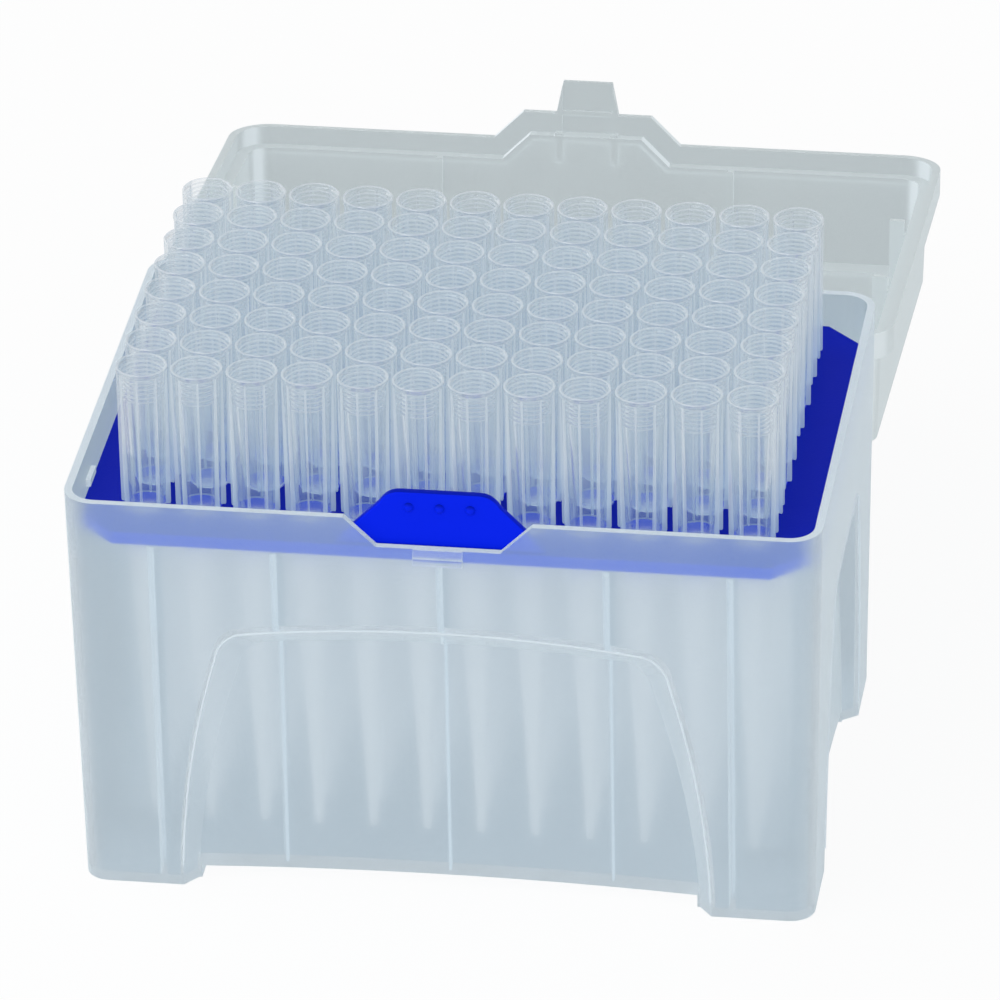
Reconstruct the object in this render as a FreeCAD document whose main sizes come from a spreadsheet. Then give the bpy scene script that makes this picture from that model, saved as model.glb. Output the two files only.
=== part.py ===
"""Hinged box of pipette tips: a moulded base on four corner feet, a loose deck plate with
ninety-six holes, twelve columns of eight tips standing in it, and a lid on two snap-in hinges.

Frame: millimetres, +Z up, X along the twelve columns, the catch side towards -Y. The origin is
the middle of the footprint on the plane that the feet stand on. The lid is drawn shut and then
turned back about its hinge pins, to where its hinge arms stop against the rear wall.
"""

import FreeCAD, Part
import math
import os

import Sketcher

V = FreeCAD.Vector

SIZES = {
    # the rack of tips
    "pitch": 9,
    "columns": 12,
    "rows": 8,
    "edge_margin": 12,
    # base
    "base_height": 71.2,
    "wall": 1.3,
    "draft": 1,
    "corner_radius": 5.3,
    "foot_height": 2.2,
    "foot_length": 16.9,
    "foot_step": 3.6,
    "floor_thickness": 1.8,
    # sunk panel between the feet, on all four sides
    "panel_inset": 3.5,
    "panel_radius": 472,
    "step_slope": 0.775,
    "arch_lean": 7.2,
    "arch_drop": 27.6,
    "arch_corner_run": 4.05,
    "arch_corner_rise": 4.95,
    "arch_side_radius": 159,
    "arch_corner_radius": 6,
    "arch_top_radius": 238,
    # ribs inside the base that carry the deck
    "rib_thickness": 1.1,
    "rib_reach": 7.4,
    "rib_spacing": 3,
    "side_rib_spacing": 2,
    "outer_rib_gap": 14.5,
    # deck plate
    "deck_drop": 5.7,
    "deck_thickness": 1.8,
    "deck_gap": 0.4,
    "deck_chamfer": 6.2,
    "deck_skirt": 2.2,
    "deck_skirt_wall": 1.2,
    "hole_radius": 3.35,
    "snap_length": 5,
    "snap_reach": 0.9,
    "snap_height": 1.2,
    "snap_spread": 28,
    "snap_play": 0.2,
    # grip tab of the deck plate
    "tab_top_half": 6.4,
    "tab_shoulder_half": 8.4,
    "tab_foot_half": 17.2,
    "tab_rise": 3.8,
    "tab_chamfer": 0.9,
    "tab_thickness": 1.5,
    "tab_setback": 0.8,
    "bump_radius": 0.85,
    "bump_depth": 0.3,
    "bump_spacing": 5,
    "bump_drop": 2.7,
    # notch and catch
    "notch_top_half": 15.3,
    "notch_foot_half": 10.1,
    "notch_depth": 5.1,
    "lug_half": 4,
    "lug_height": 2.6,
    "lug_reach": 0.95,
    "lug_lead": 0.2,
    # tips, whose radii are to their eight flats
    "tip_rise": 25.1,
    "tip_floor_gap": 3.6,
    "tip_rim_radius": 3.95,
    "tip_sleeve_radius": 3.85,
    "tip_neck_radius": 3.1,
    "tip_mouth_radius": 3.45,
    "tip_end_radius": 0.7,
    "tip_orifice_radius": 0.4,
    # lid
    "lid_height": 17.5,
    "lid_draft": 1.5,
    "lid_inset": 0.3,
    "lid_step": 5,
    "plateau_height": 4.3,
    "plateau_draft": 12,
    "skirt_depth": 3.2,
    "skirt_gap": 0.5,
    "skirt_wall": 1.4,
    "ledge": 1.4,
    "flap_gap": 0.3,
    "latch_root_half": 5.8,
    "latch_tip_half": 4.35,
    "latch_drop": 5.9,
    "latch_pocket_half": 4.5,
    "latch_pocket_depth": 0.65,
    "latch_ridge": 0.9,
    "gusset_offset": 4.9,
    "gusset_thickness": 1.4,
    "gusset_height": 5.8,
    "lid_rib_thickness": 1,
    "lid_rib_offset": 26,
    "lid_rib_height": 8,
    "lid_rib_reach": 1.2,
    "side_rib_offset": 14,
    "side_rib_reach": 2.8,
    "side_rib_drop": 2.5,
    # hinge
    "hinge_offset": 1.7,
    "hinge_drop": 6.1,
    "hinge_station": 30,
    "pin_radius": 1.4,
    "pin_play": 0.05,
    "arm_half": 5.4,
    "arm_back": 0.9,
    "ear_play": 0.3,
    "ear_thickness": 2.5,
    "ear_radius": 3,
    "ear_mouth": 2,
    "open_angle": 187,
}

OVERCUT = 1
COLUMNS = SIZES["columns"]

doc = FreeCAD.newDocument("tip_box")
sheet = doc.addObject("Spreadsheet::Sheet", "sizes")
for line, (alias, number) in enumerate(SIZES.items(), start=1):
    sheet.set(f"A{line}", alias)
    sheet.set(f"B{line}", str(number))
    sheet.setAlias(f"B{line}", alias)
doc.recompute()

# Places that several pieces share, as expressions on the sheet
HALF_LENGTH = "((sizes.columns - 1) * sizes.pitch / 2 + sizes.edge_margin)"
HALF_WIDTH = "((sizes.rows - 1) * sizes.pitch / 2 + sizes.edge_margin)"
RIM = "sizes.base_height"
FLOOR = "(sizes.foot_height + sizes.floor_thickness)"
DECK_TOP = f"({RIM} - sizes.deck_drop)"
DECK_FOOT = f"({DECK_TOP} - sizes.deck_skirt)"
DECK_SHRINK = "(sizes.wall + sizes.deck_gap + (sizes.deck_drop + sizes.deck_skirt) * tan(sizes.draft))"
FLANGE_REACH = "(sizes.skirt_gap + sizes.skirt_wall)"
AXIS_Y = f"({HALF_WIDTH} + sizes.hinge_offset)"
AXIS_Z = f"({RIM} - sizes.hinge_drop)"


def value(expression):
    """The number that an expression on the sheet stands for."""
    return float(sheet.evalExpression(expression))


# ---------------------------------------------------------------- features bound to the sheet

TURNS = {
    "XY": FreeCAD.Rotation(),
    "XZ": FreeCAD.Rotation(V(1, 0, 0), 90),
    "YZ": FreeCAD.Rotation(V(1, 1, 1), 120),
}
OFFSET_AXIS = {"XY": "z", "XZ": "y", "YZ": "x"}


def arc_between(start, end, radius):
    """The short arc from start to end that bulges to the right of the way from one to the other."""
    chord = end - start
    half = chord.Length / 2
    sagitta = radius - math.sqrt(radius**2 - half**2)
    outward = V(chord.y, -chord.x, 0).normalize()
    return Part.Arc(start, (start + end) / 2 + outward * sagitta, end)


def outline(name, path, plane="XY", at="0"):
    """A closed sketch, anticlockwise. Each corner of the path is (x, y), both expressions, or
    (x, y, radius) where an arc that bulges outwards runs on to the next corner."""
    profile = doc.addObject("Sketcher::SketchObject", name)
    profile.Placement = FreeCAD.Placement(V(), TURNS[plane])
    profile.setExpression(f"Placement.Base.{OFFSET_AXIS[plane]}", at)
    corners = [V(value(corner[0]), value(corner[1]), 0) for corner in path]
    for edge, corner in enumerate(path):
        start, end = corners[edge], corners[(edge + 1) % len(path)]
        if len(corner) == 3:
            profile.addGeometry(arc_between(start, end, value(corner[2])), False)
        else:
            profile.addGeometry(Part.LineSegment(start, end), False)
    for edge, corner in enumerate(path):
        profile.addConstraint(Sketcher.Constraint("Coincident", edge, 2, (edge + 1) % len(path), 1))
        for kind, reading, number in (
            ("DistanceX", corner[0], corners[edge].x),
            ("DistanceY", corner[1], corners[edge].y),
        ):
            place = profile.addConstraint(Sketcher.Constraint(kind, -1, 1, edge, 1, number))
            profile.setExpression(f"Constraints[{place}]", reading)
        if len(corner) == 3:
            place = profile.addConstraint(Sketcher.Constraint("Radius", edge, value(corner[2])))
            profile.setExpression(f"Constraints[{place}]", corner[2])
    return profile


def rounded_outline(name, half_x, half_y, radius, at):
    """A rectangle about the Z axis with rounded corners, in a level plane."""
    x, y, r = f"({half_x})", f"({half_y})", f"({radius})"
    path = [
        (f"-({x} - {r})", f"-{y}"),
        (f"{x} - {r}", f"-{y}", r),
        (x, f"-({y} - {r})"),
        (x, f"{y} - {r}", r),
        (f"{x} - {r}", y),
        (f"-({x} - {r})", y, r),
        (f"-{x}", f"{y} - {r}"),
        (f"-{x}", f"-({y} - {r})", r),
    ]
    return outline(name, path, "XY", at)


def extrude(name, profile, length, direction, taper=None):
    """A solid swept from a sketch; a negative taper draws it in as it goes."""
    solid = doc.addObject("Part::Extrusion", name)
    solid.Base = profile
    solid.DirMode = "Custom"
    solid.Dir = V(*direction)
    solid.Solid = True
    solid.setExpression("LengthFwd", length)
    if taper:
        solid.setExpression("TaperAngle", taper)
    return solid


def rounded_block(name, half_x, half_y, radius, at, length, direction, taper=None):
    profile = rounded_outline(f"{name}_outline", half_x, half_y, radius, at)
    return extrude(name, profile, length, direction, taper)


def box(name, x, y, z):
    """A box between two expressions on each axis."""
    solid = doc.addObject("Part::Box", name)
    for axis, size, (low, high) in (("x", "Length", x), ("y", "Width", y), ("z", "Height", z)):
        solid.setExpression(f"Placement.Base.{axis}", low)
        solid.setExpression(size, f"({high}) - ({low})")
    return solid


def bar(name, x, y, z, radius):
    """A round bar along X between two expressions."""
    solid = doc.addObject("Part::Cylinder", name)
    solid.Placement = FreeCAD.Placement(V(), FreeCAD.Rotation(V(0, 1, 0), 90))
    solid.setExpression("Placement.Base.x", x[0])
    solid.setExpression("Placement.Base.y", y)
    solid.setExpression("Placement.Base.z", z)
    solid.setExpression("Height", f"({x[1]}) - ({x[0]})")
    solid.setExpression("Radius", radius)
    return solid


def mirror(name, source, axis):
    """The same feature on the other side of the box."""
    copy = doc.addObject("Part::Mirroring", name)
    copy.Source = source
    copy.Normal = V(1, 0, 0) if axis == "x" else V(0, 1, 0)
    return copy


def fuse(name, *solids):
    joined = doc.addObject("Part::MultiFuse", name)
    joined.Shapes = list(solids)
    joined.Refine = True
    return joined


def common(name, first, second):
    shared = doc.addObject("Part::Common", name)
    shared.Base, shared.Tool = first, second
    return shared


def cut(name, first, second):
    rest = doc.addObject("Part::Cut", name)
    rest.Base, rest.Tool = first, second
    rest.Refine = True
    return rest


# ---------------------------------------------------------------- shapes that two pieces share


def notch_prism(name, offset, top, near, far):
    """The notch's trapezoid, grown by an offset, between two distances in front of the box. Its
    upper edge stands at a height above the rim."""
    slope = "((sizes.notch_top_half - sizes.notch_foot_half) / sizes.notch_depth)"
    mitre = "tan(atan(sizes.notch_depth / (sizes.notch_top_half - sizes.notch_foot_half)) / 2)"
    foot_half = f"(sizes.notch_foot_half + ({offset}) * {mitre})"
    top_half = f"({foot_half} + (sizes.notch_depth + ({offset}) + ({top})) * {slope})"
    foot = f"{RIM} - sizes.notch_depth - ({offset})"
    path = [
        (f"-{foot_half}", foot),
        (foot_half, foot),
        (top_half, f"{RIM} + ({top})"),
        (f"-{top_half}", f"{RIM} + ({top})"),
    ]
    profile = outline(f"{name}_outline", path, "XZ", f"-({near})")
    return extrude(name, profile, f"({far}) - ({near})", (0, -1, 0))


def sunk_panel(name, half_side, half_gap, grow, inset):
    """Everything in front of a sunk panel: an arch with sloping sides that stops at a panel bowed
    towards the middle of the box. It stands on the -Y side, half_side from the middle."""
    sections = []
    for label, depth in (("outer", "-1"), ("inner", "2 * sizes.panel_inset")):
        half = f"({half_gap} + {grow} - sizes.step_slope * ({depth}))"
        lift = f"({grow} - sizes.step_slope * ({depth}))"
        shoulder = (f"({half} - sizes.arch_lean)", f"({RIM} - sizes.arch_drop + {lift})")
        crown = (
            f"({shoulder[0]} - sizes.arch_corner_run)",
            f"({shoulder[1]} + sizes.arch_corner_rise)",
        )
        path = [
            (f"-{half}", "-1"),
            (half, "-1", "sizes.arch_side_radius"),
            (shoulder[0], shoulder[1], "sizes.arch_corner_radius"),
            (crown[0], crown[1], "sizes.arch_top_radius"),
            (f"-{crown[0]}", crown[1], "sizes.arch_corner_radius"),
            (f"-{shoulder[0]}", shoulder[1], "sizes.arch_side_radius"),
        ]
        sections.append(outline(f"{name}_{label}", path, "XZ", f"-({half_side} - ({depth}))"))
    arch = doc.addObject("Part::Loft", f"{name}_arch")
    arch.Sections = sections
    arch.Solid = True
    arch.Ruled = True
    reach = f"({half_gap} + 2 + {grow})"
    path = [
        (f"-{reach}", f"-({half_side} + 2)"),
        (reach, f"-({half_side} + 2)"),
        (reach, f"-({half_side} - {inset})", "sizes.panel_radius"),
        (f"-{reach}", f"-({half_side} - {inset})"),
    ]
    front = extrude(f"{name}_bow", outline(f"{name}_bow_outline", path), RIM, (0, 0, 1))
    return common(name, arch, front)


def four_panels(name, grow, inset):
    """Sunk panels on the front, the rear and both ends."""
    front = sunk_panel(f"{name}_front", HALF_WIDTH, f"({HALF_LENGTH} - sizes.foot_length)", grow, inset)
    end = sunk_panel(f"{name}_end", HALF_LENGTH, f"({HALF_WIDTH} - sizes.foot_length)", grow, inset)
    end.Placement = FreeCAD.Placement(V(), FreeCAD.Rotation(V(0, 0, 1), 90))
    return fuse(name, front, mirror(f"{name}_rear", front, "y"), end, mirror(f"{name}_far_end", end, "x"))


# ---------------------------------------------------------------- base


def deck_ribs():
    """Upright ribs inside the walls, between the columns of tips, which the deck plate stands on."""
    ribs = []
    half = "sizes.rib_thickness / 2"
    outer = f"({HALF_LENGTH} - sizes.outer_rib_gap)"
    inner = "(sizes.rib_spacing * sizes.pitch)"
    for label, x in (("middle", "0"), ("inner", inner), ("outer", outer)):
        ribs.append(
            box(
                f"front_rib_{label}",
                (f"{x} - {half}", f"{x} + {half}"),
                (f"-{HALF_WIDTH}", f"-({HALF_WIDTH} - sizes.rib_reach)"),
                ("0", DECK_FOOT),
            )
        )
    for label, y in (("middle", "0"), ("inner", "(sizes.side_rib_spacing * sizes.pitch)")):
        ribs.append(
            box(
                f"end_rib_{label}",
                (f"{HALF_LENGTH} - sizes.rib_reach", HALF_LENGTH),
                (f"{y} - {half}", f"{y} + {half}"),
                ("0", DECK_FOOT),
            )
        )
    quarter = fuse("ribs_quarter", *ribs)
    half_set = fuse("ribs_half", quarter, mirror("ribs_mirrored", quarter, "x"))
    return fuse("ribs", half_set, mirror("ribs_rear", half_set, "y"))


def catch_lug():
    """The catch under the notch: a low block with a sloping upper face for the latch to ride over."""
    top = f"({RIM} - sizes.notch_depth)"
    face = f"-({HALF_WIDTH} - sizes.wall / 2)"
    path = [
        (face, f"{top} - sizes.lug_height"),
        (face, top),
        (f"-({HALF_WIDTH} + sizes.lug_lead)", top),
        (f"-({HALF_WIDTH} + sizes.lug_reach)", f"{top} - sizes.lug_height / 2"),
        (f"-({HALF_WIDTH} + sizes.lug_reach)", f"{top} - sizes.lug_height"),
    ]
    profile = outline("lug_outline", path, "YZ", "-sizes.lug_half")
    return extrude("lug", profile, "2 * sizes.lug_half", (1, 0, 0))


def deck_snaps():
    """Small lugs on the end walls that hold the deck plate down."""
    wall_face = f"({HALF_LENGTH} - sizes.wall)"
    snap = box(
        "snap",
        (f"{wall_face} - sizes.snap_reach", HALF_LENGTH + " - sizes.wall / 2"),
        ("sizes.snap_spread - sizes.snap_length", "sizes.snap_spread"),
        (f"{DECK_TOP} + sizes.snap_play", f"{DECK_TOP} + sizes.snap_play + sizes.snap_height"),
    )
    pair = fuse("snap_pair", snap, mirror("snap_front", snap, "y"))
    return fuse("snaps", pair, mirror("snaps_left", pair, "x"))


def hinge_ears():
    """Two pairs of ears on the rear wall, each with a round eye that a lid pin snaps into through a
    mouth narrower than the pin."""
    near = "(sizes.hinge_station - sizes.arm_half - sizes.ear_play - sizes.ear_thickness)"
    far = "(sizes.hinge_station + sizes.arm_half + sizes.ear_play)"
    ears = []
    for label, x in (("inner", near), ("outer", far)):
        span = (x, f"{x} + sizes.ear_thickness")
        barrel = bar(f"ear_{label}_barrel", span, AXIS_Y, AXIS_Z, "sizes.ear_radius")
        root = box(
            f"ear_{label}_root",
            span,
            (f"{HALF_WIDTH} - sizes.wall", AXIS_Y),
            (f"{AXIS_Z} - sizes.ear_radius", f"{AXIS_Z} + sizes.ear_radius"),
        )
        ears += [barrel, root]
    solid = fuse("ears_solid", *ears)
    across = (f"{near} - {OVERCUT}", f"{far} + sizes.ear_thickness + {OVERCUT}")
    eye = bar("ear_eye", across, AXIS_Y, AXIS_Z, "sizes.pin_radius + sizes.pin_play")
    mouth = box(
        "ear_mouth",
        across,
        (AXIS_Y, f"{AXIS_Y} + sizes.ear_radius + {OVERCUT}"),
        (f"{AXIS_Z} - sizes.ear_mouth / 2", f"{AXIS_Z} + sizes.ear_mouth / 2"),
    )
    pair = cut("ears_right", solid, fuse("ear_cuts", eye, mouth))
    return fuse("ears", pair, mirror("ears_left", pair, "x"))


def build_base():
    outer = rounded_block(
        "base_outer", HALF_LENGTH, HALF_WIDTH, "sizes.corner_radius", RIM, RIM, (0, 0, -1), "-sizes.draft"
    )
    front_gap = f"({HALF_LENGTH} - sizes.foot_length - sizes.foot_step)"
    end_gap = f"({HALF_WIDTH} - sizes.foot_length - sizes.foot_step)"
    lengthwise = box(
        "channel_lengthwise",
        (f"-{HALF_LENGTH}", HALF_LENGTH),
        (f"-{end_gap}", end_gap),
        (f"-{OVERCUT}", "sizes.foot_height"),
    )
    crosswise = box(
        "channel_crosswise",
        (f"-{front_gap}", front_gap),
        (f"-{HALF_WIDTH}", HALF_WIDTH),
        (f"-{OVERCUT}", "sizes.foot_height"),
    )
    panels = four_panels("panels", "0", "sizes.panel_inset")
    notch = notch_prism(
        "notch", "0", "1", f"{HALF_WIDTH} - 2 * sizes.wall", f"{HALF_WIDTH} + {OVERCUT}"
    )
    shape = cut("base_block", outer, fuse("base_cuts", lengthwise, crosswise, panels, notch))

    inner = (f"{HALF_LENGTH} - sizes.wall", f"{HALF_WIDTH} - sizes.wall", "sizes.corner_radius - sizes.wall")
    main = rounded_block("cavity_main", *inner, RIM, f"{RIM} - {FLOOR}", (0, 0, -1), "-sizes.draft")
    deep = rounded_block("cavity_deep", *inner, RIM, f"{RIM} - sizes.wall", (0, 0, -1), "-sizes.draft")
    floor_lengthwise = box(
        "floor_lengthwise",
        (f"-{HALF_LENGTH}", HALF_LENGTH),
        (f"-({end_gap} + sizes.wall)", f"{end_gap} + sizes.wall"),
        ("0", FLOOR),
    )
    floor_crosswise = box(
        "floor_crosswise",
        (f"-({front_gap} + sizes.wall)", f"{front_gap} + sizes.wall"),
        (f"-{HALF_WIDTH}", HALF_WIDTH),
        ("0", FLOOR),
    )
    feet = cut("cavity_feet", deep, fuse("raised_floor", floor_lengthwise, floor_crosswise))
    thickening = "(sizes.wall * sqrt(1 + sizes.step_slope ^ 2))"
    behind = four_panels("panel_backs", thickening, "(sizes.panel_inset + sizes.wall)")
    hollow = cut("hollow", fuse("cavity", main, feet), behind)
    shell = cut("base_shell", shape, cut("cavity_ribbed", hollow, deck_ribs()))
    return fuse("base", shell, catch_lug(), deck_snaps(), hinge_ears())


# ---------------------------------------------------------------- deck plate


def deck_outline(name, shrink, at):
    """The deck plate's rectangle with its corners cut off."""
    x = f"({HALF_LENGTH} - {DECK_SHRINK} - ({shrink}))"
    y = f"({HALF_WIDTH} - {DECK_SHRINK} - ({shrink}))"
    chamfer = f"(sizes.deck_chamfer - ({shrink}) * (2 - sqrt(2)))"
    path = [
        (f"-({x} - {chamfer})", f"-{y}"),
        (f"{x} - {chamfer}", f"-{y}"),
        (x, f"-({y} - {chamfer})"),
        (x, f"{y} - {chamfer}"),
        (f"{x} - {chamfer}", y),
        (f"-({x} - {chamfer})", y),
        (f"-{x}", f"{y} - {chamfer}"),
        (f"-{x}", f"-({y} - {chamfer})"),
    ]
    return outline(name, path, "XY", at)


def grip_tab():
    """The tab that stands in the notch, with three small domes to grip it by."""
    front = f"({HALF_WIDTH} - {DECK_SHRINK} - sizes.tab_setback)"
    path = [
        ("-sizes.tab_foot_half", DECK_TOP + " - sizes.deck_thickness"),
        ("sizes.tab_foot_half", DECK_TOP + " - sizes.deck_thickness"),
        ("sizes.tab_foot_half", DECK_TOP),
        ("sizes.tab_shoulder_half", f"{RIM} + sizes.tab_rise - sizes.tab_chamfer"),
        ("sizes.tab_top_half", f"{RIM} + sizes.tab_rise"),
        ("-sizes.tab_top_half", f"{RIM} + sizes.tab_rise"),
        ("-sizes.tab_shoulder_half", f"{RIM} + sizes.tab_rise - sizes.tab_chamfer"),
        ("-sizes.tab_foot_half", DECK_TOP),
    ]
    profile = outline("tab_outline", path, "XZ", f"-({front} - sizes.tab_thickness)")
    pieces = [extrude("tab", profile, "sizes.tab_thickness", (0, -1, 0))]
    for label, x in (("left", "-sizes.bump_spacing"), ("middle", "0"), ("right", "sizes.bump_spacing")):
        dome = doc.addObject("Part::Sphere", f"tab_dome_{label}")
        dome.setExpression("Radius", "sizes.bump_radius")
        dome.setExpression("Placement.Base.x", x)
        dome.setExpression("Placement.Base.y", f"-({front} - sizes.bump_radius + sizes.bump_depth)")
        dome.setExpression("Placement.Base.z", f"{RIM} + sizes.tab_rise - sizes.bump_drop")
        pieces.append(dome)
    return fuse("grip_tab", *pieces)


def build_deck_plate():
    edge = deck_outline("deck_edge", "0", DECK_TOP)
    inner_edge = deck_outline("deck_inner_edge", "sizes.deck_skirt_wall", DECK_TOP)
    plate = extrude("deck_sheet", edge, "sizes.deck_thickness", (0, 0, -1))
    block = extrude("deck_block", edge, "sizes.deck_skirt", (0, 0, -1))
    room = extrude("deck_room", inner_edge, "sizes.deck_skirt", (0, 0, -1))
    solid = fuse("deck_solid", plate, cut("deck_skirt_ring", block, room), grip_tab())
    radius = "sizes.hole_radius"
    hole = eight_sided("hole", DECK_FOOT, radius, f"{DECK_TOP} + {OVERCUT}", radius)
    doc.recompute()
    holes = doc.addObject("Part::Feature", "deck_holes")
    holes.Shape = Part.makeCompound(
        [hole.Shape.translated(V(x, y, 0)) for x in tip_places("columns") for y in tip_places("rows")]
    )
    return cut("deck_plate", solid, holes)


# ---------------------------------------------------------------- tips


def tip_places(line):
    """Where the tips stand along a row or a column, from the middle outwards both ways."""
    count = int(value(f"sizes.{line}"))
    pitch = value("sizes.pitch")
    return [(place - (count - 1) / 2) * pitch for place in range(count)]


def eight_sided(name, foot, foot_radius, top, top_radius):
    """A tapered bar with eight flat sides on the Z axis: what two square ones share when one is
    turned by half a right angle. The radii are to the flats."""
    halves = []
    for label, turn in (("straight", 0), ("turned", 45)):
        square = doc.addObject("Part::Wedge", f"{name}_{label}")
        square.Placement = FreeCAD.Placement(
            V(), FreeCAD.Rotation(V(0, 0, 1), turn) * FreeCAD.Rotation(V(1, 0, 0), 90)
        )
        for side in ("X", "Z"):
            square.setExpression(f"{side}min", f"-{foot_radius}")
            square.setExpression(f"{side}max", foot_radius)
            square.setExpression(f"{side}2min", f"-{top_radius}")
            square.setExpression(f"{side}2max", top_radius)
        square.setExpression("Ymin", foot)
        square.setExpression("Ymax", top)
        halves.append(square)
    return common(name, *halves)


def build_tip():
    """One tip on the Z axis: the eight-sided sleeve of its fins rests on the deck plate, and the
    tapered body goes through the hole. The bore runs from the mouth to the orifice."""
    top = f"({DECK_TOP} + sizes.tip_rise)"
    end = f"({FLOOR} + sizes.tip_floor_gap)"
    sleeve = eight_sided("tip_sleeve", DECK_TOP, "sizes.tip_sleeve_radius", top, "sizes.tip_rim_radius")
    body = eight_sided("tip_body", end, "sizes.tip_end_radius", DECK_TOP, "sizes.tip_neck_radius")
    bore = eight_sided("tip_bore", end, "sizes.tip_orifice_radius", top, "sizes.tip_mouth_radius")
    return cut("tip", fuse("tip_solid", sleeve, body), bore)


def build_tip_columns(tip):
    """One node for each column of tips, with a solid for each tip."""
    nodes = []
    for number, x in enumerate(tip_places("columns"), start=1):
        column = doc.addObject("Part::Feature", f"tips_column_{number:02d}")
        column.Shape = Part.makeCompound([tip.Shape.translated(V(x, y, 0)) for y in tip_places("rows")])
        nodes.append(column)
    return nodes


# ---------------------------------------------------------------- lid


def lid_flange():
    """The ledge that rests on the base's rim and the skirt outside it, both of which follow the
    notch at the front."""
    reach = (f"{HALF_LENGTH} + {FLANGE_REACH}", f"{HALF_WIDTH} + {FLANGE_REACH}")
    outer = rounded_block(
        "flange_outer",
        *reach,
        f"sizes.corner_radius + {FLANGE_REACH}",
        f"{RIM} - sizes.skirt_depth",
        "sizes.skirt_depth + sizes.ledge",
        (0, 0, 1),
    )
    seat = rounded_block(
        "rim_seat",
        f"{HALF_LENGTH} + sizes.skirt_gap",
        f"{HALF_WIDTH} + sizes.skirt_gap",
        "sizes.corner_radius + sizes.skirt_gap",
        f"{RIM} - sizes.skirt_depth",
        "sizes.skirt_depth",
        (0, 0, 1),
    )
    swing = box(
        "swing_room",
        (f"-({HALF_LENGTH} - sizes.corner_radius)", f"{HALF_LENGTH} - sizes.corner_radius"),
        (f"{HALF_WIDTH} - {OVERCUT}", f"{HALF_WIDTH} + {FLANGE_REACH} + {OVERCUT}"),
        (f"{RIM} - sizes.skirt_depth - {OVERCUT}", RIM),
    )
    front = f"{HALF_WIDTH} + {FLANGE_REACH}"
    wall_face = f"{HALF_WIDTH} - sizes.lid_inset"
    flap_ledge = notch_prism("flap_ledge", "-sizes.flap_gap", "sizes.ledge", wall_face, front)
    skirt_face = f"{HALF_WIDTH} + sizes.skirt_gap"
    flap_skirt = notch_prism("flap_skirt", "sizes.skirt_depth", "0", skirt_face, front)
    above = notch_prism(
        "flap_relief",
        "-(sizes.flap_gap + sizes.ledge)",
        f"sizes.ledge + {OVERCUT}",
        wall_face,
        f"{front} + {OVERCUT}",
    )
    ring = cut("flange_ring", outer, fuse("flange_room", seat, swing))
    return cut("flange", fuse("flange_solid", ring, flap_ledge, flap_skirt), above)


def latch():
    """The tab that is pressed to open the lid, with a gusset on each side of its root."""
    root = f"({RIM} - sizes.notch_depth - sizes.skirt_depth)"
    near, far = f"({HALF_WIDTH} + sizes.skirt_gap)", f"({HALF_WIDTH} + {FLANGE_REACH})"
    path = [
        ("-sizes.latch_tip_half", f"{root} - sizes.latch_drop"),
        ("sizes.latch_tip_half", f"{root} - sizes.latch_drop"),
        ("sizes.latch_root_half", f"{root} + sizes.ledge"),
        ("-sizes.latch_root_half", f"{root} + sizes.ledge"),
    ]
    profile = outline("latch_outline", path, "XZ", f"-{near}")
    tab = extrude("latch_tab", profile, f"{far} - {near}", (0, -1, 0))
    half = "sizes.gusset_thickness / 2"
    gusset = box(
        "gusset",
        (f"sizes.gusset_offset - {half}", f"sizes.gusset_offset + {half}"),
        (f"-{far}", f"-({HALF_WIDTH} - sizes.lid_inset - sizes.wall / 2)"),
        (f"{RIM} - sizes.notch_depth", f"{RIM} - sizes.notch_depth + sizes.gusset_height"),
    )
    return fuse("latch", tab, gusset, mirror("gusset_left", gusset, "x"))


def latch_pocket():
    """Room inside the latch for the lug, and again below the ridge that hooks under it."""
    half = ("-sizes.latch_pocket_half", "sizes.latch_pocket_half")
    depth = (f"-({HALF_WIDTH} + sizes.skirt_gap + sizes.latch_pocket_depth)", f"-{HALF_WIDTH}")
    top = f"({RIM} - sizes.notch_depth + sizes.flap_gap)"
    foot = f"({top} - sizes.lug_height - 2 * sizes.flap_gap)"
    above = box("latch_pocket_above", half, depth, (foot, top))
    relief = (f"{foot} - 2 * sizes.latch_drop", f"{foot} - sizes.latch_ridge")
    below = box("latch_pocket_below", half, depth, relief)
    return fuse("latch_pocket", above, below)


def lid_ribs():
    """Short ribs inside the front wall, and ribs inside the end walls that reach down past the rim
    to centre the lid in the base."""
    half = "sizes.lid_rib_thickness / 2"
    front_face = f"({HALF_WIDTH} - sizes.lid_inset - sizes.wall)"
    end_face = f"({HALF_LENGTH} - sizes.lid_inset - sizes.wall)"
    front = box(
        "lid_front_rib",
        (f"sizes.lid_rib_offset - {half}", f"sizes.lid_rib_offset + {half}"),
        (f"-({front_face} + sizes.wall / 2)", f"-({front_face} - sizes.lid_rib_reach)"),
        (RIM, f"{RIM} + sizes.lid_rib_height"),
    )
    span = (f"sizes.side_rib_offset - {half}", f"sizes.side_rib_offset + {half}")
    blade = box(
        "lid_end_rib",
        (f"{end_face} - sizes.side_rib_reach", f"{end_face} + sizes.wall / 4"),
        span,
        (RIM, f"{RIM} + sizes.lid_height - sizes.wall / 2"),
    )
    tongue = box(
        "lid_end_rib_tongue",
        (f"{end_face} - sizes.side_rib_reach", f"{end_face} - sizes.lid_inset"),
        span,
        (f"{RIM} - sizes.side_rib_drop", f"{RIM} + {OVERCUT}"),
    )
    end = fuse("lid_end_rib_whole", blade, tongue)
    ends = fuse("lid_end_ribs_right", end, mirror("lid_end_rib_front", end, "y"))
    return fuse(
        "lid_ribs",
        front,
        mirror("lid_front_rib_left", front, "x"),
        ends,
        mirror("lid_end_ribs_left", ends, "x"),
    )


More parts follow.
